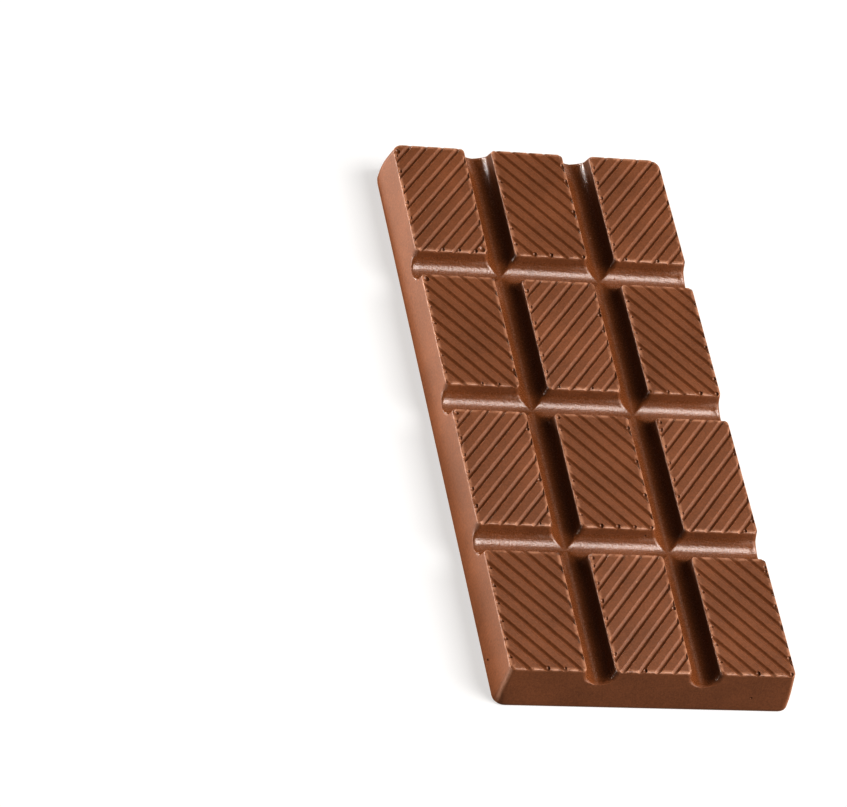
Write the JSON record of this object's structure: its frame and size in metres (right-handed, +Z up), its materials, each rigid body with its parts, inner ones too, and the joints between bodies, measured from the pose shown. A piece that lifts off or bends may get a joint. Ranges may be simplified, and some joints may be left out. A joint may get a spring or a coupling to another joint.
{
  "type": "chocolate bar",
  "caption": "Moulded milk chocolate bar lying on its flat back, with oblong blocks between rounded break channels and slanting grooves across each block's top.",
  "frame": {"origin": "middle of the bar's flat back", "axes": "+X across the bar, +Y along it, +Z up out of the back towards the moulded face"},
  "size_m": [0.0638, 0.1432, 0.0099],
  "materials": {
    "milk_chocolate": "moulded milk chocolate with a satin surface, slightly paler and duller where edges have rubbed"
  },
  "bodies": {
    "root": {"moulded_bar": "milk_chocolate"}
  },
  "joints": []
}
